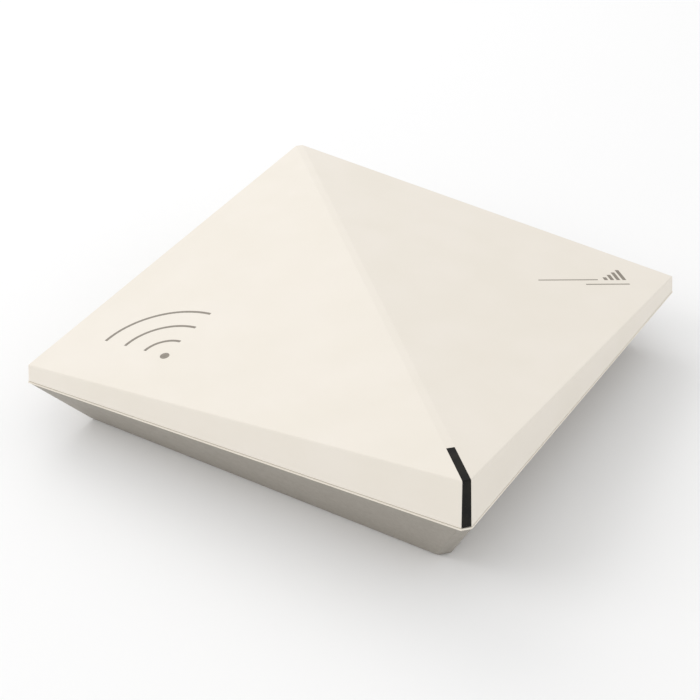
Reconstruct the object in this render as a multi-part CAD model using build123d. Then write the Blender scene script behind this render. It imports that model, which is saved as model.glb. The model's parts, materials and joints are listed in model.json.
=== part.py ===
from build123d import *
import os
from math import cos, radians, sin, sqrt, tan

# Ceiling access point, in millimetres. It stands on its ceiling side, dome up: the origin is the
# centre of the flat bottom, +Z is up, and the sides of the square lie along X and Y.
# The roof is folded along the diagonal from the back corner (-X, +Y) to the front corner (+X, -Y).
# "Ridge frame": X along that diagonal towards the front corner, Y across it, same origin and Z.

# ---- driving dimensions: housing ----
SIDE = 196.0                    # side of the square where it is widest, at the seam's low corners
HALF = SIDE / 2
WALL_DRAFT = 5.0                # degrees: the cover's walls lean in towards the roof
CORNER_CUT = 2.3                # leg of the 45 degree cut on the front and back corners, at the roof
CUT_GROWTH = 0.024              # how much that leg grows for each mm down
RIDGE_FLAT = CORNER_CUT * sqrt(2)   # the ridge is a flat band as wide as these cuts
ROOF_RIDGE_Z = 49.5             # top of the ridge band
ROOF_CORNER_Z = 30.1            # top of the two low corners
SEAM_RIDGE_Z = 30.2             # seam between tray and rim below the ridge
SEAM_CORNER_Z = 21.8            # the same seam at the two low corners
BASE_HALF = 82.0                # half side of the flat bottom
TRAY_INSET = 0.25               # how far the tray's top edge stands inside the rim
TRAY_CUT = 3.6                  # leg of the tray's own, wider cut below the same two corners
COVER_WALL = 2.6
ROOF_WALL = 2.4
TRAY_WALL = 2.5
TRAY_RIM_WALL = 2.9             # the tray's wall measured level at the seam, where it leans
EDGE_ROUND = 0.6                # small radius on the cover's outer edges
BASE_ROUND = 1.3                # radius where the tray's sides meet the bottom

# ---- rim frame and parting line ----
RIM_LIP = 0.7                   # height of the rim that shows outside
RIM_DEPTH = 4.5                 # how far the rim reaches inwards
RIM_UPSTAND = (2.9, 4.5)        # inset of the collar that locates the cover
RIM_COLLAR = 3.6                # height of that collar above the lip
RIM_NOTCH = 15.0                # length of the gap in the collar at the front corner, along the ridge
PARTING_GAP = 0.35              # shadow line between cover and rim
PARTING_DEPTH = 0.8

# ---- light strip at the front corner ----
STRIP_WIDTH = 2.9               # on the roof
STRIP_FOOT = 3.4                # and at its lower end
STRIP_THICK = 2.4
STRIP_RUN = 17.8                # length along the ridge
STRIP_BEND = 0.5
SLOT_PLAY = 0.05
SLOT_DEPTH = 4.6                # deeper than the walls, so the slot goes through them
GUIDE_GAP = 0.05                # between the strip and the clear guide behind it
GUIDE_PLAY = 0.1                # how much narrower the guide is than the strip, on each side
GUIDE_SHORT = 1.0               # how much later than the strip it starts
GUIDE_TONGUE = 1.4              # thickness of the guide under the ridge
LED_LEVELS = (36.0, 39.5, 43.0)
LED_SIZE = (0.9, 1.6)           # thickness and side
LED_GAP = 1.4                   # from the LED board's face to the guide
LED_BOARD_X = 118.0             # back face of the LED board, along the ridge
LED_BOARD = (1.2, 10.0, 12.0)   # thickness, width, height
LED_BOARD_Z = 33.5              # its lower edge
RAIL_WALL = 1.4                 # plastic of the rails beside the LED board
RAIL_GRIP = 1.0                 # how far a rail reaches over the board's edge
RAIL_FOOT = 0.4                 # how far the rails run below the board
RAIL_PLAY = (0.05, 0.1)         # clearance across the board and at its edges

# ---- port bay in the bottom, open to the back side ----
BAY_HALF = 52.0
BAY_FRONT = 31.0                # wall that carries the ports
BAY_ROOF = 17.0
BAY_WALL = 2.0
BAY_ROOF_WALL = 1.6
WINDOW_PLAY = 0.15
LOCK_SLOT = (7.0, 3.0)          # opening for a cable lock
LOCK_PLAY = 0.2
LOCK_X = -45.0
DC_X = -33.0
JACK_X = {"ethernet_jack_a": -18.0, "ethernet_jack_b": 0.0, "console_jack": 18.0}
USB_X = 35.0
RESET_X = 46.0
PORT_FACE = BAY_FRONT + 0.5     # front of the jacks, a little proud of the wall

# ---- boards ----
FLOOR = TRAY_WALL
BOARD_Z = BAY_ROOF              # underside of the main board, level with the bay's roof
BOARD_THICK = 1.6
BOARD_TOP = BOARD_Z + BOARD_THICK
BOARD_X = 60.0                  # half width
BOARD_Y = (-72.0, 29.0 - WINDOW_PLAY)
PLATE_Z = 31.0                  # underside of the antenna plate
PLATE_THICK = 1.0
PLATE_TOP = PLATE_Z + PLATE_THICK
PLATE_HALF = 64.0
PLATE_FRONT = 70.0              # the plate reaches further towards -Y than to the other sides
PLATE_CORNER = 5.0
LEAD_HOLE = 1.5                 # radius of the plate's hole for an antenna lead

# ---- fasteners ----
M3 = 1.5                        # screw radius
M3_HOLE = 1.55
M3_CLEAR = 1.65                 # loose hole in a board or plate
M3_PASSAGE = 1.7                # loose hole through a tray post
PAST = 1.0                      # how far a cut runs past the faces that it opens
COVER_SCREW_AT = [(sx * 76.0, sy * 60.0) for sx in (-1, 1) for sy in (-1, 1)]
COVER_SCREW_HEAD = 2.9
HEAD_CHAMFER = 0.4
COUNTERBORE = 3.2
COUNTERBORE_TOP = 4.0
COVER_SCREW_FLAT = 2.4          # height of the head
COVER_SCREW_KEY = (1.45, 1.4)   # radius and depth of its hexagon socket
COVER_SCREW_REACH = 9.0         # above the post
POST_TOP = 12.0                 # tray posts under the cover's bosses
POST_RADIUS = 4.5
POST_GAP = 0.1                  # between a post and the boss on it
BOSS_RADIUS = 3.5
BOSS_HOLE = 11.0
INSERT_AT = [(sx * 65.0, sy * 50.0) for sx in (-1, 1) for sy in (-1, 1)]
INSERT_RADIUS = 2.8
INSERT_BORE = 1.65              # M4 tapping radius
INSERT_DEPTH = 8.0
INSERT_PRESS = 0.02             # how much wider its hole is
INSERT_BOSS = (5.0, 10.0)       # radius and height of the plastic around it
BOARD_POST_HOLE = 9.0
BOARD_SCREW_AT = [(-54.0, -20.0), (54.0, -20.0)]
BOARD_STANDOFF_AT = [(-54.0, -66.0), (54.0, -66.0), (-54.0, 25.0), (54.0, 25.0)]
ROOF_STANDOFF_AT = [(-45.0, 60.0), (45.0, 60.0)]
STANDOFF_AT = [(-54.0, -66.0), (54.0, -66.0)] + ROOF_STANDOFF_AT
BOARD_POST_AT = BOARD_SCREW_AT + BOARD_STANDOFF_AT

# ---- antennas: connector, hole in the plate, heading from the hole to the antenna's feed ----
ANTENNA_2G_AT = [((-36, -12), (-38, -4), 225), ((-28, -12), (-34, 34), 135), ((-20, -12), (-14, -22), 225)]
ANTENNA_5G_AT = [((36, -12), (40, -30), -45), ((28, -12), (38, -2), 45), ((20, -12), (12, 22), 45)]
FEED_REACH = 6.0                # from the hole to the antenna's feed leg
FEED_LEVEL = 3.2                # height above the plate at which the lead meets that leg
FEED_GAP = 0.05
CABLE_RADIUS = 0.57
CABLE_LEVEL = 27.8
CABLE_BEND = 2.0
COAX_HEIGHT = 1.6
COAX_RADIUS = 1.4


# ---- small helpers ----
def block(x0, x1, y0, y1, z0, z1):
    """A box from its lowest and highest corners."""
    return Pos((x0 + x1) / 2, (y0 + y1) / 2, (z0 + z1) / 2) * Box(x1 - x0, y1 - y0, z1 - z0)


def post(x, y, z0, z1, radius):
    """An upright cylinder."""
    return Pos(x, y, (z0 + z1) / 2) * Cylinder(radius, z1 - z0)


def bar_y(x, z, y0, y1, radius):
    """A cylinder lying along Y."""
    return Pos(x, (y0 + y1) / 2, z) * Rot(90, 0, 0) * Cylinder(radius, y1 - y0)


def group(pieces):
    """Separate solids kept side by side in one node."""
    return Compound(children=[piece.solid() for piece in pieces])


def from_ridge(piece):
    """Turn a piece made in the ridge frame into the part's own frame."""
    return Rot(0, 0, -45) * piece


def half_at(z):
    """Half side of the cover's drafted outside at a height."""
    return HALF - (z - SEAM_CORNER_Z) * tan(radians(WALL_DRAFT))


def cut_at(z):
    """Leg of the cut on the front and back corners at a height."""
    return CORNER_CUT + (ROOF_RIDGE_Z - z) * CUT_GROWTH


def front_face(z):
    """Distance from the axis to the cut on the front corner, along the ridge, at a height."""
    return (2 * half_at(z) - cut_at(z)) / sqrt(2)


def outline_points(ridge_half, low_half, cut):
    """Plan of the housing, anticlockwise from the front corner, which is cut like the back one."""
    near = ridge_half - cut
    return [(ridge_half, -near), (low_half, low_half), (-near, ridge_half),
            (-ridge_half, near), (-low_half, -low_half), (near, -ridge_half)]


def corners(half, z, cut):
    """The housing's plan as points at one height."""
    return [Vector(x, y, z) for x, y in outline_points(half, half, cut)]


def solid_of(faces):
    return Part([Solid(Shell(faces))])


def walled(inset, z0=-10.0, z1=70.0):
    """Solid inside the cover's drafted walls once they are moved in by inset."""
    lower = corners(half_at(z0) - inset, z0, cut_at(z0))
    upper = corners(half_at(z1) - inset, z1, cut_at(z1))
    faces = [Face(Wire.make_polygon(lower)), Face(Wire.make_polygon(upper))]
    for i in range(len(lower)):
        j = (i + 1) % len(lower)
        faces.append(Face(Wire.make_polygon([lower[i], lower[j], upper[j], upper[i]])))
    return solid_of(faces)


def fold_height(u, ridge_z, corner_z):
    """Height of a folded sheet at distance u from the ridge line."""
    reach = HALF * sqrt(2)
    past_flat = max(0.0, abs(u) - RIDGE_FLAT / 2)
    return ridge_z - (ridge_z - corner_z) * past_flat / (reach - RIDGE_FLAT / 2)


def fold_slab(low, high):
    """Everything between two folded sheets; each is (height at the ridge, height at the low corners)."""
    edge = HALF * sqrt(2) + 10
    flat = RIDGE_FLAT / 2
    across = (-edge, -flat, flat, edge)
    under = [(u, fold_height(u, *low)) for u in across]
    over = [(u, fold_height(u, *high)) for u in reversed(across)]
    section = Plane(origin=(0, 0, 0), x_dir=(1, 1, 0), z_dir=(1, -1, 0))
    face = make_face(section * Polyline(*under, *over, close=True))
    return extrude(face, SIDE, both=True)


def raised(sheet, amount):
    """The same folded sheet, higher by amount."""
    return (sheet[0] + amount, sheet[1] + amount)


ROOF = (ROOF_RIDGE_Z, ROOF_CORNER_Z)
SEAM = (SEAM_RIDGE_Z, SEAM_CORNER_Z)
BELOW_TRAY = (-5.0, -5.0)


def ridge_distance(x, y):
    return (x + y) / sqrt(2)


def roof_inside(x, y):
    """Height of the cover's inner roof above a point."""
    return fold_height(ridge_distance(x, y), *ROOF) - ROOF_WALL


def tub(low_half, low_z, inset):
    """A level bottom whose ruled sides rise to the folded seam, and a little past it.

    At the seam the sides stand inset inside the cover's outside.
    """
    lower = corners(low_half, low_z, TRAY_CUT)
    seam_outline = outline_points(half_at(SEAM_RIDGE_Z) - inset, HALF - inset, TRAY_CUT)
    upper = []
    for foot, (x, y) in zip(lower, seam_outline):
        at_seam = Vector(x, y, fold_height(ridge_distance(x, y), *SEAM))
        rise = at_seam - foot
        upper.append(foot + rise * ((rise.Z + 2 * PAST) / rise.Z))
    faces = [Face(Wire.make_polygon(lower))]
    for i in range(len(lower)):
        j = (i + 1) % len(lower)
        faces.append(Face.make_surface_from_curves(Edge.make_line(lower[i], lower[j]),
                                                   Edge.make_line(upper[i], upper[j])))
    # the top closes in three flat pieces: one on each side of the fold and the band between them
    faces.append(Face(Wire.make_polygon([upper[0], upper[2], upper[3], upper[5]])))
    faces.append(Face(Wire.make_polygon([upper[0], upper[1], upper[2]])))
    faces.append(Face(Wire.make_polygon([upper[3], upper[4], upper[5]])))
    return solid_of(faces)


# ---- housing ----
def on_outline(edge):
    """True for an edge of the cover that lies on its drafted outside."""
    middle = edge.center()
    half = half_at(middle.Z)
    on_side = max(abs(middle.X), abs(middle.Y)) > half - 0.01
    on_cut = abs(middle.X - middle.Y) > 2 * half - cut_at(middle.Z) - 0.01
    return on_side or on_cut


def strip_profile(thick, start, low_z, reach=0.0):
    """Side view of the strip's path, in the ridge frame: along the ridge, then down the cut."""
    top = ROOF_RIDGE_Z + reach
    under = ROOF_RIDGE_Z - thick
    return [(start, top), (front_face(top) + reach, top), (front_face(low_z) + reach, low_z),
            (front_face(low_z) - thick, low_z), (front_face(under) - thick, under), (start, under)]


def ridge_plate(profile, play=0.0):
    """A side view in the ridge frame made into a plate that widens down the corner as the strip does."""
    face = make_face(Plane.XZ * Polyline(*profile, close=True))
    plate = extrude(face, STRIP_FOOT, both=True)
    half_top = STRIP_WIDTH / 2 + play
    half_foot = STRIP_FOOT / 2 + play
    above = ROOF_RIDGE_Z + 2 * PAST
    taper = [(half_foot, SEAM_RIDGE_Z), (half_top, ROOF_RIDGE_Z), (half_top, above),
             (-half_top, above), (-half_top, ROOF_RIDGE_Z), (-half_foot, SEAM_RIDGE_Z)]
    front_view = make_face(Plane.YZ * Polyline(*taper, close=True))
    return plate & extrude(front_view, SIDE)


def slot_for_strip():
    """Opening in the cover for the light strip: along the ridge, over the corner and down."""
    start = front_face(ROOF_RIDGE_Z) - STRIP_RUN
    profile = strip_profile(SLOT_DEPTH, start, SEAM_RIDGE_Z + RIM_LIP + PARTING_GAP, reach=PAST)
    return from_ridge(ridge_plate(profile, SLOT_PLAY))


def led_rails():
    """Two grooved rails under the roof that hold the LED board upright."""
    thick, width, height = LED_BOARD
    across, beside = RAIL_PLAY
    back, front = LED_BOARD_X, LED_BOARD_X + thick
    rail_top = ROOF_RIDGE_Z - ROOF_WALL / 2
    rails = []
    for side in (-1, 1):
        y0, y1 = sorted((side * (width / 2 - RAIL_GRIP), side * (width / 2 + RAIL_WALL)))
        rails.append(block(back - RAIL_WALL, front + RAIL_WALL, y0, y1, LED_BOARD_Z - RAIL_FOOT, rail_top))
    groove = block(back - across, front + across, -width / 2 - beside, width / 2 + beside,
                   LED_BOARD_Z - PAST, LED_BOARD_Z + height + beside)
    return from_ridge(rails[0] + rails[1] - groove)


def top_cover():
    seam_top = raised(SEAM, RIM_LIP)
    shell = walled(0) & fold_slab(seam_top, ROOF)
    rounded = [edge for edge in shell.edges()
               if on_outline(edge)
               and edge.center().Z > PAST + fold_height(ridge_distance(edge.center().X, edge.center().Y),
                                                        *seam_top)]
    shell = fillet(rounded, EDGE_ROUND)
    shell -= walled(COVER_WALL) & fold_slab(raised(SEAM, -5), raised(ROOF, -ROOF_WALL))
    parting = walled(-PAST) - walled(PARTING_DEPTH)
    shell -= parting & fold_slab(SEAM, raised(seam_top, PARTING_GAP))
    for x, y in COVER_SCREW_AT:
        shell += post(x, y, POST_TOP + POST_GAP, roof_inside(x, y) + ROOF_WALL / 2, BOSS_RADIUS)
    for x, y in COVER_SCREW_AT:
        shell -= post(x, y, POST_TOP - PAST, POST_TOP + BOSS_HOLE, M3_HOLE)
    shell += led_rails()
    return shell - slot_for_strip()


def rim_frame():
    """Thin frame between cover and tray: a lip that shows, and a collar inside the cover."""
    lip = walled(0) - walled(RIM_DEPTH)
    lip &= fold_slab(SEAM, raised(SEAM, RIM_LIP))
    collar = walled(RIM_UPSTAND[0]) - walled(RIM_UPSTAND[1])
    collar &= fold_slab(SEAM, raised(SEAM, RIM_LIP + RIM_COLLAR))
    front = front_face(SEAM_RIDGE_Z)
    notch = block(front - RIM_NOTCH, front, -STRIP_WIDTH, STRIP_WIDTH, SEAM_RIDGE_Z + RIM_LIP, ROOF_RIDGE_Z)
    return lip + (collar - from_ridge(notch))


def bay_block():
    """Walls and roof of the port bay, before the bay itself is cut out."""
    reach = BAY_HALF + BAY_WALL
    return block(-reach, reach, BAY_FRONT - BAY_WALL, HALF, 0, BAY_ROOF + BAY_ROOF_WALL)


def bay_windows():
    """Openings in the bay's front wall, one for each port."""
    y0 = BAY_FRONT - BAY_WALL - PAST
    y1 = BAY_FRONT + PAST
    jack_half = JACK_WIDTH / 2 + WINDOW_PLAY
    dc_half = DC_WIDTH / 2 + WINDOW_PLAY
    usb_half = USB_SIZE[0] / 2 + WINDOW_PLAY
    lock_half = LOCK_SLOT[0] / 2 + LOCK_PLAY
    lock_rise = LOCK_SLOT[1] / 2 + LOCK_PLAY
    cuts = [block(x - jack_half, x + jack_half, y0, y1, JACK_Z0 - WINDOW_PLAY, BOARD_Z)
            for x in JACK_X.values()]
    cuts.append(block(DC_X - dc_half, DC_X + dc_half, y0, y1, DC_Z0 - WINDOW_PLAY, BOARD_Z))
    cuts.append(block(USB_X - usb_half, USB_X + usb_half, y0, y1,
                      USB_Z0 - WINDOW_PLAY, USB_Z0 + USB_SIZE[2] + WINDOW_PLAY))
    cuts.append(bar_y(RESET_X, RESET_Z, y0, y1, RESET_HOLE))
    cuts.append(block(LOCK_X - lock_half, LOCK_X + lock_half, y0, y1, LOCK_Z - lock_rise, LOCK_Z + lock_rise))
    return cuts


def tray_cavity():
    """The hollow of the tray: what is left around the bay, the posts and the cooling pedestal."""
    cavity = tub(BASE_HALF - TRAY_WALL, FLOOR, TRAY_INSET + TRAY_RIM_WALL)
    cavity -= bay_block()
    for x, y in COVER_SCREW_AT:
        cavity -= post(x, y, 0, POST_TOP, POST_RADIUS)
    for x, y in INSERT_AT:
        cavity -= post(x, y, 0, INSERT_BOSS[1], INSERT_BOSS[0])
    for x, y in BOARD_POST_AT:
        cavity -= post(x, y, 0, BOARD_Z, BOSS_RADIUS)
    return cavity - block(*PEDESTAL_X, *PEDESTAL_Y, 0, PEDESTAL_TOP)


def base_tray():
    tray = tub(BASE_HALF, 0, TRAY_INSET)
    tray = fillet([edge for edge in tray.edges() if edge.center().Z < 0.01], BASE_ROUND)
    tray -= tray_cavity()
    tray -= block(-BAY_HALF, BAY_HALF, BAY_FRONT, HALF + PAST, -PAST, BAY_ROOF)
    for x, y in ROOF_STANDOFF_AT:
        tray -= post(x, y, BAY_ROOF - PAST, BOARD_TOP + PAST, M3_HOLE)
    tray -= block(*LABEL_X, *LABEL_Y, -PAST, LABEL_RECESS)
    for cut in bay_windows():
        tray -= cut
    for x, y in COVER_SCREW_AT:
        tray -= post(x, y, -PAST, POST_TOP + PAST, M3_PASSAGE)
        tray -= post(x, y, -PAST, COUNTERBORE_TOP, COUNTERBORE)
    for x, y in INSERT_AT:
        tray -= post(x, y, -PAST, INSERT_DEPTH, INSERT_RADIUS + INSERT_PRESS)
    for x, y in BOARD_POST_AT:
        tray -= post(x, y, BOARD_Z - BOARD_POST_HOLE, BOARD_Z + PAST, M3_HOLE)
    return tray & fold_slab(BELOW_TRAY, SEAM)


# ---- light strip ----
def light_strip():
    start = front_face(ROOF_RIDGE_Z) - STRIP_RUN + SLOT_PLAY
    low_z = SEAM_RIDGE_Z + RIM_LIP + PARTING_GAP + SLOT_PLAY
    strip = ridge_plate(strip_profile(STRIP_THICK, start, low_z))
    bend = strip.edges().filter_by(Axis.Y).sort_by(lambda edge: edge.center().X + edge.center().Z)[-1]
    return from_ridge(fillet(bend, STRIP_BEND))


def light_guide():
    """Clear guide behind the strip: a fin in front of the LEDs and a tongue under the ridge."""
    behind = STRIP_THICK + GUIDE_GAP
    under = ROOF_RIDGE_Z - behind
    back = LED_BOARD_X + LED_BOARD[0] + LED_GAP
    start = front_face(ROOF_RIDGE_Z) - STRIP_RUN + GUIDE_SHORT
    profile = [(start, under), (front_face(under) - behind, under),
               (front_face(LED_BOARD_Z) - behind, LED_BOARD_Z), (back, LED_BOARD_Z),
               (back, under - GUIDE_TONGUE), (start, under - GUIDE_TONGUE)]
    return from_ridge(ridge_plate(profile, -GUIDE_PLAY))


def led_board():
    thick, width, height = LED_BOARD
    board = block(LED_BOARD_X, LED_BOARD_X + thick, -width / 2, width / 2, LED_BOARD_Z, LED_BOARD_Z + height)
    return from_ridge(board)


def status_leds():
    face = LED_BOARD_X + LED_BOARD[0]
    thick, side = LED_SIZE
    chips = [block(face, face + thick, -side / 2, side / 2, level - side / 2, level + side / 2)
             for level in LED_LEVELS]
    return group([from_ridge(chip) for chip in chips])


LED_PLUG_Z = (34.2, 36.8)
LED_PLUG_DEPTH = 1.6
LED_PLUG_SHELL = 1.0            # how much wider than the cable the connectors are, on each side
LED_SOCKET_X = (80.0, 84.5)     # along the ridge
LED_SOCKET_HEIGHT = 2.8
LED_CABLE_WIDTH = 5.0
LED_CABLE_THICK = 0.3
LED_CABLE_LEVEL = 22.6          # height of its lower run
LED_CABLE_SLOPE = (108.0, 98.0) # top and foot of its slope, along the ridge
LED_CABLE_BEND = 4.0


def led_connectors():
    """Flat-cable connectors on the back of the LED board and on the main board."""
    half = LED_CABLE_WIDTH / 2 + LED_PLUG_SHELL
    on_led_board = block(LED_BOARD_X - LED_PLUG_DEPTH, LED_BOARD_X, -half, half, *LED_PLUG_Z)
    on_main_board = block(*LED_SOCKET_X, -half, half, BOARD_TOP, BOARD_TOP + LED_SOCKET_HEIGHT)
    return group([from_ridge(on_led_board), from_ridge(on_main_board)])


def led_cable():
    """Flat flexible cable between the two connectors, bent down below the antenna plate."""
    high = sum(LED_PLUG_Z) / 2
    low = LED_CABLE_LEVEL
    start = LED_BOARD_X - LED_PLUG_DEPTH
    slope_top, slope_foot = LED_CABLE_SLOPE
    path = FilletPolyline((start, high), (slope_top, high), (slope_foot, low), (LED_SOCKET_X[1], low),
                          radius=LED_CABLE_BEND)
    plane = Plane(origin=(start, 0, high), x_dir=(0, 1, 0), z_dir=(-1, 0, 0))
    section = plane * Rectangle(LED_CABLE_WIDTH, LED_CABLE_THICK)
    return from_ridge(sweep(section, path=Plane.XZ * path))


# ---- main board and what stands on it ----
PEDESTAL_X = (-17.0, 17.0)
PEDESTAL_Y = (-52.0, -18.0)
CHIP_HEIGHT = 1.8
PAD_HEIGHT = 0.8
PEDESTAL_TOP = BOARD_Z - CHIP_HEIGHT - PAD_HEIGHT
PROCESSOR = (0.0, -35.0, 27.0)      # centre and side
CARRIER_THICK = 1.0                 # the processor's own small board
LID_INSET = 3.0
PAD_INSET = 4.0
MEMORY_AT = [(-26.0, -28.0), (-26.0, -43.0)]
MEMORY_SIZE = (9.0, 13.0, 1.1)


def main_board():
    board = block(-BOARD_X, BOARD_X, *BOARD_Y, BOARD_Z, BOARD_TOP)
    for x, y in BOARD_POST_AT:
        board -= post(x, y, BOARD_Z - PAST, BOARD_TOP + PAST, M3_CLEAR)
    return board


def processor():
    x, y, side = PROCESSOR
    half = side / 2
    lid = half - LID_INSET
    carrier_z = BOARD_Z - CARRIER_THICK
    carrier = block(x - half, x + half, y - half, y + half, carrier_z, BOARD_Z)
    return carrier + block(x - lid, x + lid, y - lid, y + lid, BOARD_Z - CHIP_HEIGHT, carrier_z)


def memory_chips():
    width, depth, height = MEMORY_SIZE
    return group([block(x - width / 2, x + width / 2, y - depth / 2, y + depth / 2, BOARD_Z - height, BOARD_Z)
                  for x, y in MEMORY_AT])


def thermal_pad():
    x, y, side = PROCESSOR
    half = side / 2 - PAD_INSET
    return block(x - half, x + half, y - half, y + half, PEDESTAL_TOP, BOARD_Z - CHIP_HEIGHT)


RADIO_X = 30.0
RADIO_Y = -34.0
SHIELD_SIZE = (34.0, 28.0, 3.0)
SHIELD_CORNER = 1.0
SHEET = 0.3
VENT_COUNT = 5
VENT_PITCH = 5.0
VENT_ROW = 8.0                      # from the radio's centre
VENT_RADIUS = 0.7
RADIO_CHIP = (12.0, 1.0)            # side and height


def radio_shield(x):
    """Drawn can over one radio, open towards the board, with a row of vent holes in its top."""
    width, depth, height = SHIELD_SIZE
    top = BOARD_TOP + height
    half_x, half_y = width / 2, depth / 2
    can = block(x - half_x, x + half_x, RADIO_Y - half_y, RADIO_Y + half_y, BOARD_TOP, top)
    can = fillet(can.edges().filter_by(Axis.Z), SHIELD_CORNER)
    can -= block(x - half_x + SHEET, x + half_x - SHEET, RADIO_Y - half_y + SHEET, RADIO_Y + half_y - SHEET,
                 BOARD_TOP - PAST, top - SHEET)
    for i in range(VENT_COUNT):
        vent_x = x + (i - (VENT_COUNT - 1) / 2) * VENT_PITCH
        can -= post(vent_x, RADIO_Y + VENT_ROW, BOARD_TOP, top + PAST, VENT_RADIUS)
    return can


def radio_chips():
    side, height = RADIO_CHIP
    return group([block(x - side / 2, x + side / 2, RADIO_Y - side / 2, RADIO_Y + side / 2,
                        BOARD_TOP, BOARD_TOP + height) for x in (-RADIO_X, RADIO_X)])


MAGNETICS_HALF = 7.5
MAGNETICS_Y = (8.0, 20.0)
MAGNETICS_RISE = (0.4, 5.0)         # underside and top above the board
LEG_COUNT = 6
LEG_PITCH = 2.2
LEG_HALF = 0.3
LEG_REACH = 1.0
LEG_TOP = 0.8


def ethernet_magnetics():
    """Isolation transformers behind the two network jacks."""
    pieces = []
    for x in (JACK_X["ethernet_jack_a"], JACK_X["ethernet_jack_b"]):
        body = block(x - MAGNETICS_HALF, x + MAGNETICS_HALF, *MAGNETICS_Y,
                     BOARD_TOP + MAGNETICS_RISE[0], BOARD_TOP + MAGNETICS_RISE[1])
        for i in range(LEG_COUNT):
            leg_x = x + (i - (LEG_COUNT - 1) / 2) * LEG_PITCH
            body += block(leg_x - LEG_HALF, leg_x + LEG_HALF, MAGNETICS_Y[0] - LEG_REACH,
                          MAGNETICS_Y[1] + LEG_REACH, BOARD_TOP, BOARD_TOP + LEG_TOP)
        pieces.append(body)
    return group(pieces)


TRANSFORMER_AT = (-49.0, 4.0)
CORE_HALF = (8.0, 6.0)
CORE_RISE = (0.6, 9.4)              # underside and top above the board
CORE_WINDOW = (5.0, 2.4, 7.6)       # half width, lower and upper edge above the board
CORE_LIMB = 1.8                     # half width of the limb inside the winding
WINDING_HALF = (4.8, 8.0)
WINDING_RISE = (2.6, 7.4)
WINDING_BORE = 2.0                  # half width


def poe_transformer():
    """Power transformer: a ferrite core round a winding bobbin."""
    x, y = TRANSFORMER_AT
    half_x, half_y = CORE_HALF
    window, window_low, window_high = CORE_WINDOW
    core = block(x - half_x, x + half_x, y - half_y, y + half_y,
                 BOARD_TOP + CORE_RISE[0], BOARD_TOP + CORE_RISE[1])
    core -= block(x - window, x + window, y - half_y - PAST, y + half_y + PAST,
                  BOARD_TOP + window_low, BOARD_TOP + window_high)
    core += block(x - CORE_LIMB, x + CORE_LIMB, y - half_y, y + half_y,
                  BOARD_TOP + window_low, BOARD_TOP + window_high)
    return core


def transformer_winding():
    x, y = TRANSFORMER_AT
    half_x, half_y = WINDING_HALF
    low, high = BOARD_TOP + WINDING_RISE[0], BOARD_TOP + WINDING_RISE[1]
    coil = block(x - half_x, x + half_x, y - half_y, y + half_y, low, high)
    coil -= block(x - WINDING_BORE, x + WINDING_BORE, y - half_y - PAST, y + half_y + PAST,
                  low - PAST, high + PAST)
    return Compound(children=coil.solids())


CAPACITORS_AT = [(50.0, 8.0, 4.0), (50.0, -2.0, 4.0), (-50.0, -10.0, 3.2)]     # centre and radius
CAPACITOR_HEIGHT = 9.2
CAPACITOR_ROUND = 0.5


def capacitors():
    cans = []
    for x, y, radius in CAPACITORS_AT:
        can = post(x, y, BOARD_TOP, BOARD_TOP + CAPACITOR_HEIGHT, radius)
        cans.append(fillet(can.edges().group_by(Axis.Z)[-1], CAPACITOR_ROUND))
    return group(cans)


# ---- antenna deck ----
def antenna_plate():
    """Aluminium reflector over the boards, with a hole for each antenna lead."""
    plate = block(-PLATE_HALF, PLATE_HALF, -PLATE_FRONT, PLATE_HALF, PLATE_Z, PLATE_TOP)
    plate = fillet(plate.edges().filter_by(Axis.Z), PLATE_CORNER)
    for x, y in STANDOFF_AT:
        plate -= post(x, y, PLATE_Z - PAST, PLATE_TOP + PAST, M3_CLEAR)
    for _, (x, y), _ in ANTENNA_2G_AT + ANTENNA_5G_AT:
        plate -= post(x, y, PLATE_Z - PAST, PLATE_TOP + PAST, LEAD_HOLE)
    return plate


ANTENNA_SHEET = 0.5
ARM_WIDTH = 2.6
ARM_BEHIND = 0.35                   # share of the arm on the shorting leg's side of the feed
SHORT_WIDTH = 2.2
FOOT_REACH = 5.0
FOOT_WIDTH = 4.2
FEED_HALF = 0.9
FEED_CLEAR = 2.2                    # the feed leg ends this far above the plate
ANTENNA_2G_SIZE = (26.0, 9.4)       # length and height
ANTENNA_5G_SIZE = (15.0, 7.0)


def feed_point(hole, heading, reach=FEED_REACH):
    """The point at a distance from a lead's hole, in the antenna's direction."""
    return (hole[0] + reach * cos(radians(heading)), hole[1] + reach * sin(radians(heading)))


def inverted_f(length, height, hole, heading):
    """Stamped antenna: foot on the plate, shorting leg, long arm and a feed leg that hangs clear."""
    start = -length * ARM_BEHIND
    arm = block(0, ANTENNA_SHEET, start, start + length, height - ARM_WIDTH, height)
    short = block(0, ANTENNA_SHEET, start, start + SHORT_WIDTH, 0, height)
    foot = block(0, FOOT_REACH, start, start + FOOT_WIDTH, 0, ANTENNA_SHEET)
    feed = block(0, ANTENNA_SHEET, -FEED_HALF, FEED_HALF, FEED_CLEAR, height)
    x, y = feed_point(hole, heading)
    return Pos(x, y, PLATE_TOP) * Rot(0, 0, heading) * (arm + short + foot + feed)


def antennas_2g():
    return group([inverted_f(*ANTENNA_2G_SIZE, hole, heading) for _, hole, heading in ANTENNA_2G_AT])


def antennas_5g():
    return group([inverted_f(*ANTENNA_5G_SIZE, hole, heading) for _, hole, heading in ANTENNA_5G_AT])


def coax_connectors():
    return group([post(*start, BOARD_TOP, BOARD_TOP + COAX_HEIGHT, COAX_RADIUS)
                  for start, _, _ in ANTENNA_2G_AT + ANTENNA_5G_AT])


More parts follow.
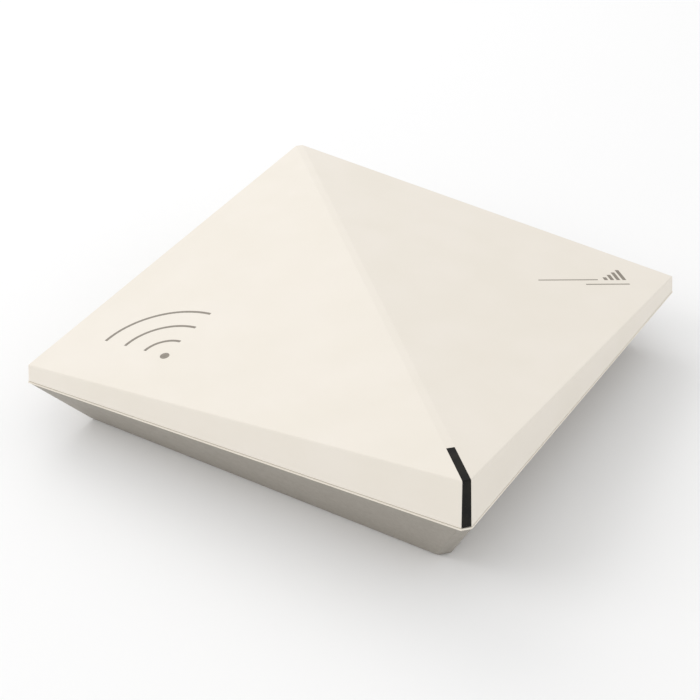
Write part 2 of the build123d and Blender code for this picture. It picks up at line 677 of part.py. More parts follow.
def antenna_lead(start, hole, heading):
    """Thin coaxial lead: up from its connector, across, up through the plate and to the feed leg."""
    foot_z = BOARD_TOP + COAX_HEIGHT
    feed_z = PLATE_TOP + FEED_LEVEL
    last = feed_point(hole, heading, FEED_REACH - FEED_GAP)
    path = FilletPolyline((*start, foot_z), (*start, CABLE_LEVEL), (*hole, CABLE_LEVEL), (*hole, feed_z),
                          (*last, feed_z), radius=CABLE_BEND)
    section = Plane(origin=(*start, foot_z), z_dir=(0, 0, 1)) * Circle(CABLE_RADIUS)
    return sweep(section, path=path)


def antenna_leads():
    return group([antenna_lead(*place) for place in ANTENNA_2G_AT + ANTENNA_5G_AT])


# ---- ports ----
JACK_WIDTH = 16.0
JACK_DEPTH = 19.0
JACK_Z0 = BOARD_Z - 13.4
CAVITY_WIDTH = 11.8
CAVITY_DEPTH = 14.0
CAVITY_Z = (BOARD_Z - 9.8, BOARD_Z - 2.6)   # main part of the socket, contacts along its top
LATCH_STEPS = ((3.2, 1.3), (1.7, 2.6))      # half width and depth below the socket of the latch channel
LAMP_Z = (BOARD_Z - 2.1, BOARD_Z - 0.6)
LAMP_OUT = 6.0                      # from the jack's centre to each lamp
LAMP_HALF = 1.25
LAMP_DEPTH = 1.0
LAMP_PROUD = 0.1                    # how far a lamp stands out of the jack's front
LAMP_PLAY = 0.05
CONTACT_COUNT = 8
CONTACT_PITCH = 1.02
CONTACT_SIZE = (0.42, 8.5, 0.3)
CONTACT_TILT = 10.0                 # degrees
CONTACT_BEHIND = 6.2                # middle of a contact, behind the jack's front
CONTACT_DROP = 0.7                  # and below the socket's roof


def network_jack(x):
    """Shielded eight-way jack: stepped socket with its latch channel below, and two lamp pockets."""
    y0 = PORT_FACE - JACK_DEPTH
    back = PORT_FACE - CAVITY_DEPTH
    open_y = PORT_FACE + PAST
    body = block(x - JACK_WIDTH / 2, x + JACK_WIDTH / 2, y0, PORT_FACE, JACK_Z0, BOARD_Z)
    body -= block(x - CAVITY_WIDTH / 2, x + CAVITY_WIDTH / 2, back, open_y, *CAVITY_Z)
    for half, drop in LATCH_STEPS:
        body -= block(x - half, x + half, back, open_y, CAVITY_Z[0] - drop, CAVITY_Z[0] + PAST)
    for lamp_x in (x - LAMP_OUT, x + LAMP_OUT):
        body -= block(lamp_x - LAMP_HALF, lamp_x + LAMP_HALF, PORT_FACE - LAMP_DEPTH, open_y, *LAMP_Z)
    return body


def jack_contacts():
    """Sprung contacts in each jack, sloping down and back from the socket's roof."""
    contacts = []
    middle = (PORT_FACE - CONTACT_BEHIND, CAVITY_Z[1] - CONTACT_DROP)
    for x in JACK_X.values():
        for i in range(CONTACT_COUNT):
            at = x + (i - (CONTACT_COUNT - 1) / 2) * CONTACT_PITCH
            wire = Pos(at, *middle) * Rot(CONTACT_TILT, 0, 0) * Box(*CONTACT_SIZE)
            roof = block(at - PAST, at + PAST, PORT_FACE - CAVITY_DEPTH, PORT_FACE, CAVITY_Z[1], BOARD_Z)
            contacts.append(wire - roof)
    return group(contacts)


def jack_lamps():
    lamps = []
    half = LAMP_HALF - LAMP_PLAY
    for x in JACK_X.values():
        for lamp_x in (x - LAMP_OUT, x + LAMP_OUT):
            lamps.append(block(lamp_x - half, lamp_x + half, PORT_FACE - LAMP_DEPTH, PORT_FACE + LAMP_PROUD,
                               LAMP_Z[0] + LAMP_PLAY, LAMP_Z[1] - LAMP_PLAY))
    return group(lamps)


USB_SIZE = (13.2, 14.0, 5.8)
USB_Z0 = BOARD_Z - 8.8
USB_SHEET = 0.4
USB_CORNER = 0.6
USB_BACK = 1.0                      # thickness of the shell's back
USB_TONGUE = (5.6, 1.2, 0.35, 2.2)  # half width, set back, and top and underside below the shell's inside
USB_ROOT = (6.1, 2.2)               # half width and depth of the block at the tongue's back
USB_FIT = 0.05
USB_FOOT = (6.0, 0.2)               # half width, and gap to the bay's wall


def usb_shell():
    width, depth, height = USB_SIZE
    y0 = PORT_FACE - depth
    half = width / 2
    shell = block(USB_X - half, USB_X + half, y0, PORT_FACE, USB_Z0, USB_Z0 + height)
    shell = fillet(shell.edges().filter_by(Axis.Y), USB_CORNER)
    shell -= block(USB_X - half + USB_SHEET, USB_X + half - USB_SHEET, y0 + USB_BACK, PORT_FACE + PAST,
                   USB_Z0 + USB_SHEET, USB_Z0 + height - USB_SHEET)
    return shell


def usb_tongue():
    y0 = PORT_FACE - USB_SIZE[1] + USB_BACK
    low, top = USB_Z0 + USB_SHEET, USB_Z0 + USB_SIZE[2] - USB_SHEET
    half, set_back, upper, lower = USB_TONGUE
    root_half, root_depth = USB_ROOT
    tongue = block(USB_X - half, USB_X + half, y0, PORT_FACE - set_back, top - lower, top - upper)
    root = block(USB_X - root_half, USB_X + root_half, y0, y0 + root_depth, low + USB_FIT, top - USB_FIT)
    return tongue + root


def usb_stand():
    """Plastic foot that hangs the USB shell from the main board."""
    half, gap = USB_FOOT
    return block(USB_X - half, USB_X + half, PORT_FACE - USB_SIZE[1], BAY_FRONT - BAY_WALL - gap,
                 USB_Z0 + USB_SIZE[2], BOARD_Z)


DC_Z0 = BOARD_Z - 11.0
DC_AXIS_Z = BOARD_Z - 6.0
DC_BORE = 3.15
DC_WIDTH = 9.0
DC_DEPTH = 14.0
DC_BORE_DEPTH = 9.5
DC_PIN = (1.05, 0.8)                # radius, and how far its tip stands back
DC_PIN_ROUND = 0.4


def dc_jack():
    body = block(DC_X - DC_WIDTH / 2, DC_X + DC_WIDTH / 2, PORT_FACE - DC_DEPTH, PORT_FACE, DC_Z0, BOARD_Z)
    body -= bar_y(DC_X, DC_AXIS_Z, PORT_FACE - DC_BORE_DEPTH, PORT_FACE + PAST, DC_BORE)
    return body


def dc_pin():
    radius, set_back = DC_PIN
    pin = bar_y(DC_X, DC_AXIS_Z, PORT_FACE - DC_BORE_DEPTH, PORT_FACE - set_back, radius)
    return fillet(pin.edges().group_by(Axis.Y)[-1], DC_PIN_ROUND)


RESET_Z = BOARD_Z - 6.0
RESET_HOLE = 1.65
RESET_TRAVEL = 0.8
RESET_FIT = 0.05                    # clearance of the plunger in its hole
RESET_SET_BACK = 0.3                # its tip stands this far inside the wall's face
RESET_TAIL = 2.0                    # how far it reaches behind the wall
RESET_ROUND = 0.3
RESET_FLANGE = (2.5, 0.1, 1.1)      # radius, and front and back behind the wall
SWITCH_HALF = 3.0
SWITCH_DEPTH = 4.5
SWITCH_GAP = 0.05                   # left between plunger and switch at full travel


def reset_button():
    """Plunger in its guide hole, with a flange behind the wall that keeps it in."""
    wall_back = BAY_FRONT - BAY_WALL
    radius, front, back = RESET_FLANGE
    stem = bar_y(RESET_X, RESET_Z, wall_back - RESET_TAIL, BAY_FRONT - RESET_SET_BACK, RESET_HOLE - RESET_FIT)
    stem = fillet(stem.edges().group_by(Axis.Y)[-1], RESET_ROUND)
    return stem + bar_y(RESET_X, RESET_Z, wall_back - back, wall_back - front, radius)


def reset_switch():
    """Tact switch hung from the board behind the plunger, which stops against it."""
    front = BAY_FRONT - BAY_WALL - RESET_TAIL - RESET_TRAVEL - SWITCH_GAP
    return block(RESET_X - SWITCH_HALF, RESET_X + SWITCH_HALF, front - SWITCH_DEPTH, front,
                 RESET_Z - SWITCH_HALF, BOARD_Z)


LOCK_Z = BOARD_Z - 6.5
LOCK_PLATE = (5.5, 4.5, 1.5)        # half width, half height, thickness


def lock_plate():
    """Steel plate behind the wall, with the slot of a cable lock."""
    wall_back = BAY_FRONT - BAY_WALL
    half, rise, thick = LOCK_PLATE
    plate = block(LOCK_X - half, LOCK_X + half, wall_back - thick, wall_back, LOCK_Z - rise, LOCK_Z + rise)
    slot = Plane.XZ * SlotOverall(*LOCK_SLOT)
    return plate - Pos(LOCK_X, wall_back, LOCK_Z) * extrude(slot, 2 * thick, both=True)


# ---- fasteners and small pieces ----
def bracket_inserts():
    """Brass sleeves for the bracket's screws."""
    return group([post(x, y, 0, INSERT_DEPTH, INSERT_RADIUS)
                  - post(x, y, -PAST, INSERT_DEPTH + PAST, INSERT_BORE) for x, y in INSERT_AT])


def cover_screws():
    """Socket-head screws from below, through the tray's posts into the cover's bosses."""
    screws = []
    low = COUNTERBORE_TOP - COVER_SCREW_FLAT
    key_radius, key_depth = COVER_SCREW_KEY
    for x, y in COVER_SCREW_AT:
        head = post(x, y, low, COUNTERBORE_TOP, COVER_SCREW_HEAD)
        head = chamfer(head.edges().group_by(Axis.Z)[0], HEAD_CHAMFER)
        head -= Pos(x, y, low) * extrude(RegularPolygon(key_radius, 6), key_depth)
        screws.append(head + post(x, y, COUNTERBORE_TOP - HEAD_CHAMFER, POST_TOP + COVER_SCREW_REACH, M3))
    return group(screws)


PAN_HEAD = (2.8, 1.8)               # radius and height
PAN_ROUND = 0.8
CROSS = (3.0, 0.6)                  # length and width of each slot of the recess
CROSS_DEPTH = 1.0
BOARD_SCREW_LENGTH = 7.0
PLATE_SCREW_LENGTH = 4.5
STUD_LENGTH = 6.0
SPACER_APOTHEM = 2.75
SPACER_HOLE = 6.0


def pan_screw(x, y, seat_z, length):
    """Pan-head screw with a cross recess, head up."""
    radius, height = PAN_HEAD
    top = seat_z + height
    head = post(x, y, seat_z, top, radius)
    head = fillet(head.edges().group_by(Axis.Z)[-1], PAN_ROUND)
    for turn in (0, 90):
        head -= Pos(x, y, top) * Rot(0, 0, turn) * Box(*CROSS, 2 * CROSS_DEPTH)
    return head + post(x, y, seat_z - length, seat_z + height / 4, M3)


def board_screws():
    at = BOARD_SCREW_AT + [place for place in BOARD_STANDOFF_AT if place not in STANDOFF_AT]
    return group([pan_screw(x, y, BOARD_TOP, BOARD_SCREW_LENGTH) for x, y in at])


def plate_screws():
    return group([pan_screw(x, y, PLATE_TOP, PLATE_SCREW_LENGTH) for x, y in STANDOFF_AT])


def plate_standoffs():
    """Hexagonal spacers between the board or the bay's roof and the antenna plate."""
    spacers = []
    height = PLATE_Z - BOARD_TOP
    for x, y in STANDOFF_AT:
        stud = BAY_ROOF_WALL if (x, y) in ROOF_STANDOFF_AT else STUD_LENGTH
        spacer = Pos(x, y, BOARD_TOP) * extrude(RegularPolygon(SPACER_APOTHEM, 6, major_radius=False), height)
        spacer -= post(x, y, PLATE_Z - SPACER_HOLE, PLATE_Z + PAST, M3_HOLE)
        spacers.append(spacer + post(x, y, BOARD_TOP - stud, BOARD_TOP + PAST, M3))
    return group(spacers)


LABEL_X = (-36.0, 36.0)
LABEL_Y = (-62.0, -26.0)
LABEL_RECESS = 0.3
LABEL_MARGIN = 0.4                  # from the recess's edge
LABEL_UNDER = 0.1                   # the label's face stands this far inside the bottom
LABEL_CORNER = 1.5


def rating_label():
    """Blank label in a shallow recess of the bottom."""
    x0, x1 = LABEL_X[0] + LABEL_MARGIN, LABEL_X[1] - LABEL_MARGIN
    y0, y1 = LABEL_Y[0] + LABEL_MARGIN, LABEL_Y[1] - LABEL_MARGIN
    label = block(x0, x1, y0, y1, LABEL_UNDER, LABEL_RECESS)
    return fillet(label.edges().filter_by(Axis.Z), LABEL_CORNER)


NODES = {
    "top_cover": top_cover,
    "rim_frame": rim_frame,
    "base_tray": base_tray,
    "light_strip": light_strip,
    "light_guide": light_guide,
    "led_board": led_board,
    "status_leds": status_leds,
    "led_connectors": led_connectors,
    "led_cable": led_cable,
    "main_board": main_board,
    "processor": processor,
    "memory_chips": memory_chips,
    "thermal_pad": thermal_pad,
    "radio_shield_2g": lambda: radio_shield(-RADIO_X),
    "radio_shield_5g": lambda: radio_shield(RADIO_X),
    "radio_chips": radio_chips,
    "ethernet_magnetics": ethernet_magnetics,
    "poe_transformer": poe_transformer,
    "transformer_winding": transformer_winding,
    "capacitors": capacitors,
    "antenna_plate": antenna_plate,
    "antennas_2g": antennas_2g,
    "antennas_5g": antennas_5g,
    "coax_connectors": coax_connectors,
    "antenna_leads": antenna_leads,
    "jack_contacts": jack_contacts,
    "jack_lamps": jack_lamps,
    "usb_shell": usb_shell,
    "usb_tongue": usb_tongue,
    "usb_stand": usb_stand,
    "dc_jack": dc_jack,
    "dc_pin": dc_pin,
    "reset_button": reset_button,
    "reset_switch": reset_switch,
    "lock_plate": lock_plate,
    "bracket_inserts": bracket_inserts,
    "cover_screws": cover_screws,
    "board_screws": board_screws,
    "plate_screws": plate_screws,
    "plate_standoffs": plate_standoffs,
    "rating_label": rating_label,
}

os.makedirs("parts", exist_ok=True)
for name, make in NODES.items():
    export_step(make(), f"parts/{name}.step")
for name, x in JACK_X.items():
    export_step(network_jack(x), f"parts/{name}.step")
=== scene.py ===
import json
from math import cos, pi, radians, sin, sqrt

import bmesh
import bpy
from mathutils import Euler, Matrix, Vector
from mathutils.bvhtree import BVHTree


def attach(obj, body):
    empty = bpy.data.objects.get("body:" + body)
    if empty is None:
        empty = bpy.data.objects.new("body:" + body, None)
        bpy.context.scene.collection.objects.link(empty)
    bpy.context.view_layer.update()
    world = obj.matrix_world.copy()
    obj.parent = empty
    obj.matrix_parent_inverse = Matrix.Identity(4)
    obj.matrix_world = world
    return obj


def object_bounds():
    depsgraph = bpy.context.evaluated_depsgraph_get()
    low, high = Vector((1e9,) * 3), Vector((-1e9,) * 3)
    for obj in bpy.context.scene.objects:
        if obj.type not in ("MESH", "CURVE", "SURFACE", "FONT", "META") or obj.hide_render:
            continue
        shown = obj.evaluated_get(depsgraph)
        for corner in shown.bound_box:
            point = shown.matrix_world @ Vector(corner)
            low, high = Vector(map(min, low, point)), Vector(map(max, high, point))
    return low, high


# Looks for the ceiling access point, in metres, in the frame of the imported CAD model.
# The roof is folded along the diagonal from the back corner (-X, +Y) to the front corner (+X, -Y).
# u runs across that ridge towards the +X +Y corner, w along it towards the front corner.

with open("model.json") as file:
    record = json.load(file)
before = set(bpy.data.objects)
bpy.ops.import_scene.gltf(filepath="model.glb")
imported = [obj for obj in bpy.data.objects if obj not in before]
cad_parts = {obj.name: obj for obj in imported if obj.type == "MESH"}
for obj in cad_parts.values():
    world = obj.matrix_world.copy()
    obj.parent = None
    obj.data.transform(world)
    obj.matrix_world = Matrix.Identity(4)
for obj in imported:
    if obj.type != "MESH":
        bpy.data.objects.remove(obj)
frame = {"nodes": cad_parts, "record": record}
cad_low, cad_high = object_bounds()
MM = 0.001


# ---- camera ----
# Blender takes the sensor's width and the focal length in millimetres.
SENSOR_WIDTH = 36.0
FOCAL_LENGTH = 66.47
CAMERA_PLACE = Vector((234.1, -389.3, 314.7)) * MM
CAMERA_PITCH = radians(56.545)
CAMERA_ROLL = radians(0.631)
CAMERA_HEADING = radians(31.457)
NEAREST_SEEN = 0.01
FARTHEST_SEEN = 50.0


def make_camera():
    data = bpy.data.cameras.new("camera")
    data.sensor_width = SENSOR_WIDTH
    data.lens = FOCAL_LENGTH
    data.clip_start = NEAREST_SEEN
    data.clip_end = FARTHEST_SEEN
    camera = bpy.data.objects.new("camera", data)
    camera.location = CAMERA_PLACE
    camera.rotation_euler = Euler((CAMERA_PITCH, CAMERA_ROLL, CAMERA_HEADING))
    bpy.context.scene.collection.objects.link(camera)
    bpy.context.scene.camera = camera


# ---- material helpers ----
# Most of a noise texture's values lie between these two.
NOISE_LOW = 0.3
NOISE_HIGH = 0.7

# Noise as it comes, or drawn out along one axis into the lines of rolling and drawing.
EVEN = (1, 1, 1)
ALONG_X = (0.15, 1, 1)
ALONG_Z = (1, 1, 0.2)


class Recipe:
    """A Principled material and short ways to add procedural variation to it."""

    def __init__(self, name, colour, roughness, metallic=0.0, **sockets):
        self.material = bpy.data.materials.new(name)
        self.material.use_nodes = True
        self.tree = self.material.node_tree
        self.shader = self.tree.nodes["Principled BSDF"]
        self.shader.inputs["Base Color"].default_value = (*colour, 1.0)
        self.shader.inputs["Roughness"].default_value = roughness
        self.shader.inputs["Metallic"].default_value = metallic
        for socket, value in sockets.items():
            self.shader.inputs[socket.replace("_", " ")].default_value = value
        self.place = self.tree.nodes.new("ShaderNodeTexCoord").outputs["Object"]
        self.relief = None

    def node(self, kind):
        return self.tree.nodes.new(kind)

    def link(self, source, target):
        self.tree.links.new(source, target)

    def noise(self, size, detail, stretch):
        """Noise whose blobs are about size across, in metres."""
        spread = self.node("ShaderNodeMapping")
        spread.inputs["Scale"].default_value = stretch
        self.link(self.place, spread.inputs["Vector"])
        texture = self.node("ShaderNodeTexNoise")
        texture.inputs["Scale"].default_value = 1.0 / size
        texture.inputs["Detail"].default_value = detail
        self.link(spread.outputs["Vector"], texture.inputs["Vector"])
        return texture.outputs["Fac"]

    def mottle(self, colour_a, colour_b, size, low=0.35, high=0.65, detail=2.0, stretch=EVEN):
        """The base colour drifts from one close colour at noise value low to another at high."""
        ramp = self.node("ShaderNodeValToRGB")
        ramp.color_ramp.elements[0].position = low
        ramp.color_ramp.elements[1].position = high
        ramp.color_ramp.elements[0].color = (*colour_a, 1.0)
        ramp.color_ramp.elements[1].color = (*colour_b, 1.0)
        self.link(self.noise(size, detail, stretch), ramp.inputs["Fac"])
        self.link(ramp.outputs["Color"], self.shader.inputs["Base Color"])
        return self

    def uneven(self, smoothest, roughest, size, detail=3.0, stretch=EVEN):
        """Roughness drifts between two values."""
        spread = self.node("ShaderNodeMapRange")
        spread.inputs["From Min"].default_value = NOISE_LOW
        spread.inputs["From Max"].default_value = NOISE_HIGH
        spread.inputs["To Min"].default_value = smoothest
        spread.inputs["To Max"].default_value = roughest
        self.link(self.noise(size, detail, stretch), spread.inputs["Value"])
        self.link(spread.outputs["Result"], self.shader.inputs["Roughness"])
        return self

    def grain(self, size, depth, detail=2.0, stretch=EVEN):
        """Adds relief: bumps about size across and depth high, over any grain added before."""
        bump = self.node("ShaderNodeBump")
        bump.inputs["Distance"].default_value = depth
        self.link(self.noise(size, detail, stretch), bump.inputs["Height"])
        if self.relief is not None:
            self.link(self.relief, bump.inputs["Normal"])
        self.relief = bump.outputs["Normal"]
        self.link(self.relief, self.shader.inputs["Normal"])
        return self


def srgb(red, green, blue):
    """Linear colour from display values 0 to 255, by the sRGB curve."""
    def linear(value):
        share = value / 255
        return share / 12.92 if share <= 0.04045 else ((share + 0.055) / 1.055) ** 2.4
    return (linear(red), linear(green), linear(blue))


# ---- materials with a recipe of their own ----
def cover_plastic():
    """Off-white moulding with a fine spark-eroded texture on a barely wavy surface."""
    recipe = Recipe("cover_plastic", srgb(235, 228, 217), roughness=0.5, IOR=1.5)
    recipe.mottle(srgb(234, 227, 215), srgb(236, 229, 218), size=25 * MM)
    recipe.uneven(0.46, 0.54, size=12 * MM)
    recipe.grain(size=0.6 * MM, depth=0.014 * MM)
    return recipe.grain(size=20 * MM, depth=0.015 * MM).material


def rim_plastic():
    """The cover's plastic, a shade darker."""
    recipe = Recipe("rim_plastic", srgb(233, 225, 212), roughness=0.48, IOR=1.5)
    recipe.mottle(srgb(231, 223, 209), srgb(235, 228, 215), size=20 * MM)
    recipe.uneven(0.42, 0.52, size=10 * MM)
    return recipe.grain(size=0.6 * MM, depth=0.01 * MM).material


def tray_paint():
    """Warm grey, much darker than the cover, with slight orange peel and tiny darker specks."""
    recipe = Recipe("tray_paint", srgb(156, 150, 140), roughness=0.55, IOR=1.5)
    recipe.mottle(srgb(151, 145, 135), srgb(160, 154, 145), size=1.1 * MM, low=0.3, high=0.7, detail=4.0)
    recipe.uneven(0.48, 0.62, size=4 * MM)
    recipe.grain(size=1.1 * MM, depth=0.04 * MM)
    return recipe.grain(size=3.5 * MM, depth=0.03 * MM).material


def smoked_gloss():
    """Smoked black window, polished."""
    recipe = Recipe("smoked_gloss", srgb(17, 16, 12), roughness=0.2, IOR=1.4, Specular_IOR_Level=0.25)
    recipe.mottle(srgb(14, 13, 10), srgb(26, 24, 18), size=4 * MM)
    recipe.uneven(0.14, 0.26, size=3 * MM)
    return recipe.grain(size=6 * MM, depth=0.02 * MM).material


def clear_acrylic():
    """Clear moulded light guide."""
    recipe = Recipe("clear_acrylic", (0.95, 0.96, 0.97), roughness=0.1, IOR=1.49, Transmission_Weight=0.9)
    recipe.uneven(0.05, 0.2, size=2 * MM)
    return recipe.grain(size=2 * MM, depth=0.02 * MM).material


def board_laminate():
    """Green solder mask; the copper tracks under it show as lighter straight runs."""
    pattern_scale = 220.0
    track_width = 0.06
    recipe = Recipe("board_laminate", srgb(18, 84, 48), roughness=0.35, IOR=1.5)
    tracks = recipe.node("ShaderNodeTexBrick")
    tracks.inputs["Scale"].default_value = pattern_scale
    tracks.inputs["Mortar Size"].default_value = track_width
    tracks.inputs["Color1"].default_value = (*srgb(16, 78, 44), 1.0)
    tracks.inputs["Color2"].default_value = (*srgb(20, 88, 50), 1.0)
    tracks.inputs["Mortar"].default_value = (*srgb(42, 120, 70), 1.0)
    recipe.link(recipe.place, tracks.inputs["Vector"])
    recipe.link(tracks.outputs["Color"], recipe.shader.inputs["Base Color"])
    recipe.uneven(0.25, 0.42, size=4 * MM)
    return recipe.grain(size=3 * MM, depth=0.03 * MM).material


OWN_RECIPES = {
    "cover_plastic": cover_plastic,
    "rim_plastic": rim_plastic,
    "tray_paint": tray_paint,
    "smoked_gloss": smoked_gloss,
    "clear_acrylic": clear_acrylic,
    "board_laminate": board_laminate,
}


# ---- small moulded parts ----
FINE_GRAIN = 0.4 * MM
USUAL_GRAIN = 0.8 * MM

# slot: colour, lighter colour, roughness, size of the grain
PLASTICS = {
    "led_lens": (srgb(236, 226, 150), srgb(244, 238, 190), 0.25, USUAL_GRAIN),
    "ivory_nylon": (srgb(222, 217, 198), srgb(232, 228, 212), 0.5, USUAL_GRAIN),
    "flex_film": (srgb(214, 220, 228), srgb(232, 236, 240), 0.22, USUAL_GRAIN),
    "chip_epoxy": (srgb(22, 22, 23), srgb(34, 34, 35), 0.55, FINE_GRAIN),
    "thermal_silicone": (srgb(116, 138, 164), srgb(130, 152, 176), 0.7, USUAL_GRAIN),
    "ferrite": (srgb(40, 40, 43), srgb(58, 58, 62), 0.6, 0.3 * MM),
    "winding_tape": (srgb(222, 184, 44), srgb(232, 198, 70), 0.3, USUAL_GRAIN),
    "lead_jacket": (srgb(24, 24, 25), srgb(36, 36, 37), 0.45, USUAL_GRAIN),
    "port_plastic": (srgb(24, 24, 25), srgb(36, 36, 38), 0.48, 0.5 * MM),
    "lamp_lens": (srgb(150, 200, 120), srgb(176, 216, 150), 0.18, USUAL_GRAIN),
    "button_plastic": (srgb(58, 58, 60), srgb(72, 72, 74), 0.42, USUAL_GRAIN),
    "label_film": (srgb(228, 228, 226), srgb(236, 236, 234), 0.35, USUAL_GRAIN),
}


def plain_plastic(name, colour, lighter, roughness, grain_size):
    """Two close colours, uneven gloss and a fine grain."""
    recipe = Recipe(name, colour, roughness, IOR=1.5)
    recipe.mottle(colour, lighter, size=3 * MM)
    recipe.uneven(roughness - 0.06, roughness + 0.08, size=2 * MM)
    return recipe.grain(grain_size, depth=0.02 * MM).material


# ---- bare metals ----
# slot: colour, darker colour, roughness, stretch of the marks
METALS = {
    "tinned_steel": (srgb(206, 206, 202), srgb(176, 176, 172), 0.3, ALONG_X),
    "capacitor_can": (srgb(204, 206, 210), srgb(182, 184, 188), 0.3, EVEN),
    "plate_aluminium": (srgb(212, 213, 214), srgb(188, 189, 191), 0.38, ALONG_X),
    "antenna_brass": (srgb(214, 180, 110), srgb(190, 152, 84), 0.28, EVEN),
    "gold_contact": (srgb(232, 192, 104), srgb(214, 170, 84), 0.18, EVEN),
    "insert_brass": (srgb(206, 172, 100), srgb(176, 140, 74), 0.3, ALONG_Z),
    "zinc_screw": (srgb(186, 190, 194), srgb(158, 162, 168), 0.3, EVEN),
}


def worked_metal(name, colour, darker, roughness, stretch):
    """Darker marks, uneven gloss and a fine relief, all drawn out alike."""
    recipe = Recipe(name, colour, roughness, metallic=1.0)
    recipe.mottle(darker, colour, size=1.2 * MM, low=0.3, high=0.6, detail=3.0, stretch=stretch)
    recipe.uneven(roughness - 0.08, roughness + 0.1, size=1.5 * MM, stretch=stretch)
    return recipe.grain(size=0.5 * MM, depth=0.01 * MM, stretch=stretch).material


# ---- materials of the CAD nodes ----
def make_material(slot):
    if slot in PLASTICS:
        return plain_plastic(slot, *PLASTICS[slot])
    if slot in METALS:
        return worked_metal(slot, *METALS[slot])
    return OWN_RECIPES[slot]()


def dress_cad_nodes():
    """Every CAD node gets the procedural material of its slot."""
    made = {}
    for part in frame["record"]["subparts"]:
        slot = part["material_slot"]
        if slot not in made:
            made[slot] = make_material(slot)
        mesh = frame["nodes"][part["node"]].data
        mesh.materials.clear()
        mesh.materials.append(made[slot])


# ---- printed marks on the roof ----
# The ink stands this far over the roof, and reaches as far into it.
INK_RISE = 0.03 * MM
RAY_START = cad_high.z + 10 * MM
ARC_STEPS = 28


def printed_ink():
    """Warm grey pad-printed ink."""
    recipe = Recipe("printed_ink", srgb(136, 128, 116), roughness=0.5)
    recipe.mottle(srgb(132, 124, 112), srgb(142, 134, 122), size=1.2 * MM)
    return recipe.grain(size=0.4 * MM, depth=0.008 * MM).material


def cover_surface():
    cover = frame["nodes"]["top_cover"].data
    return BVHTree.FromPolygons([v.co for v in cover.vertices], [p.vertices for p in cover.polygons])


ROOF = cover_surface()


def on_roof(u, w, lift):
    """Point of the roof at ridge coordinates u and w, raised along Z."""
    above = Vector(((u + w) / sqrt(2), (u - w) / sqrt(2), RAY_START))
    hit = ROOF.ray_cast(above, Vector((0, 0, -1)))[0]
    return hit + Vector((0, 0, lift))


def add_plate(mesh, outline):
    """A closed plate of ink whose outline is a loop of (u, w) points."""
    top = [mesh.verts.new(on_roof(u, w, INK_RISE)) for u, w in outline]
    bottom = [mesh.verts.new(on_roof(u, w, -INK_RISE)) for u, w in outline]
    mesh.faces.new(top)
    mesh.faces.new(list(reversed(bottom)))
    count = len(outline)
    for i in range(count):
        j = (i + 1) % count
        mesh.faces.new((bottom[i], bottom[j], top[j], top[i]))


def add_box(mesh, u0, u1, w0, w1):
    """A rectangular plate of ink."""
    add_plate(mesh, [(u0, w1), (u1, w1), (u1, w0), (u0, w0)])


def add_band(mesh, inner, outer):
    """A closed strip of ink between two open rows of (u, w) points."""
    rows = []
    for row, lift in ((inner, INK_RISE), (outer, INK_RISE), (outer, -INK_RISE), (inner, -INK_RISE)):
        rows.append([mesh.verts.new(on_roof(u, w, lift)) for u, w in row])
    for side in range(len(rows)):
        here, there = rows[side], rows[(side + 1) % len(rows)]
        for i in range(len(here) - 1):
            mesh.faces.new((here[i], here[i + 1], there[i + 1], there[i]))
    mesh.faces.new([row[0] for row in rows])
    mesh.faces.new([row[-1] for row in reversed(rows)])


def arc(centre, radius, start, end):
    """Points (u, w) on an arc; angle 0 points along u and 90 degrees towards the back corner."""
    turns = [start + (end - start) * i / ARC_STEPS for i in range(ARC_STEPS + 1)]
    return [(centre[0] + radius * cos(t), centre[1] - radius * sin(t)) for t in turns]


def finish_piece(name, mesh, material):
    bmesh.ops.recalc_face_normals(mesh, faces=mesh.faces)
    data = bpy.data.meshes.new(name)
    mesh.to_mesh(data)
    mesh.free()
    data.materials.append(material)
    piece = bpy.data.objects.new(name, data)
    bpy.context.scene.collection.objects.link(piece)
    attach(piece, "housing")


def wave_mark(ink):
    """Generic radio symbol: a dot with three arcs over it, on the low left corner of the roof."""
    centre = (-85.0 * MM, 18.5 * MM)
    dot_radius = 1.9 * MM
    arc_radii = (10.0 * MM, 20.0 * MM, 30.0 * MM)
    arc_ends = (pi / 4, 3 * pi / 4)
    stroke = 1.25 * MM

    mesh = bmesh.new()
    for radius in arc_radii:
        inner = arc(centre, radius - stroke / 2, *arc_ends)
        outer = arc(centre, radius + stroke / 2, *arc_ends)
        add_band(mesh, inner, outer)
    add_plate(mesh, arc(centre, dot_radius, 0, 2 * pi)[:-1])
    finish_piece("wave_mark", mesh, ink)


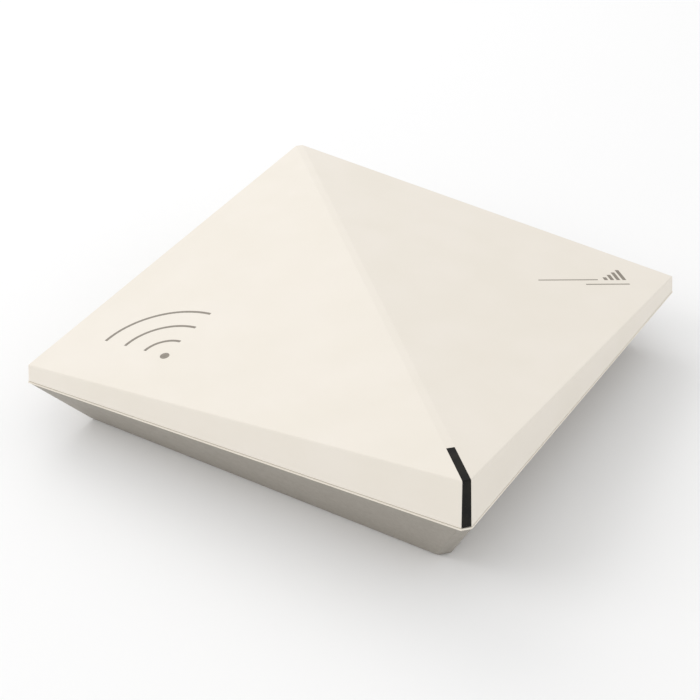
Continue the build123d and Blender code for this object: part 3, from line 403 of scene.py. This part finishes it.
def bars_mark(ink):
    """Generic signal bars with two plain rules, near the right corner of the roof."""
    bar_count = 4
    bar_pitch = 2.8 * MM
    bar_width = 1.7 * MM
    first_bar = 104.0 * MM
    first_rise = 2.4 * MM
    rise_step = 2.1 * MM
    rule = 0.7 * MM
    foot = 3.2 * MM
    first_rule_ends = (74.0 * MM, 101.0 * MM)
    second_rule_ends = (94.0 * MM, 114.1 * MM)
    second_rule_foot = foot + 3.2 * MM

    mesh = bmesh.new()
    for i in range(bar_count):
        left = first_bar + i * bar_pitch
        rise = first_rise + i * rise_step
        add_box(mesh, left, left + bar_width, foot - rise, foot)
    add_box(mesh, *first_rule_ends, foot - rule, foot)
    add_box(mesh, *second_rule_ends, second_rule_foot, second_rule_foot + rule)
    finish_piece("bars_mark", mesh, ink)


# ---- floor and light ----
FLOOR_REACH = 3.0
FLOOR_ALBEDO = 0.95
FLOOR_GAP = 0.2 * MM
SURROUNDINGS = 0.81
LIGHTS_AIM = Vector((0, 0, 0.03))


def make_floor():
    mesh = bmesh.new()
    bmesh.ops.create_grid(mesh, x_segments=1, y_segments=1, size=FLOOR_REACH)
    data = bpy.data.meshes.new("floor")
    mesh.to_mesh(data)
    mesh.free()
    floor = bpy.data.objects.new("floor", data)
    floor.location.z = cad_low.z - FLOOR_GAP
    recipe = Recipe("floor", (FLOOR_ALBEDO, FLOOR_ALBEDO, FLOOR_ALBEDO), roughness=0.9)
    data.materials.append(recipe.material)
    bpy.context.scene.collection.objects.link(floor)


def area_light(name, place, size, watts):
    """A square soft light that faces the object."""
    data = bpy.data.lights.new(name, "AREA")
    data.size = size
    data.energy = watts
    light = bpy.data.objects.new(name, data)
    light.location = place
    aim = LIGHTS_AIM - Vector(place)
    light.rotation_euler = aim.to_track_quat("-Z", "Y").to_euler()
    bpy.context.scene.collection.objects.link(light)


def make_light():
    """A white surrounding, a key and a back light on the left, and a weak fill on the right."""
    world = bpy.data.worlds.new("studio")
    world.use_nodes = True
    background = world.node_tree.nodes["Background"]
    background.inputs["Color"].default_value = (1.0, 1.0, 1.0, 1.0)
    background.inputs["Strength"].default_value = SURROUNDINGS
    bpy.context.scene.world = world
    area_light("key", place=(-1.2, -1.0, 1.2), size=1.2, watts=7.8)
    area_light("back", place=(-1.2, 0.9, 1.2), size=1.2, watts=6.5)
    area_light("fill", place=(1.3, 0.3, 0.4), size=1.0, watts=1.2)
    bpy.context.scene.view_settings.view_transform = "Standard"


make_camera()
make_light()
make_floor()
dress_cad_nodes()
ink = printed_ink()
wave_mark(ink)
bars_mark(ink)
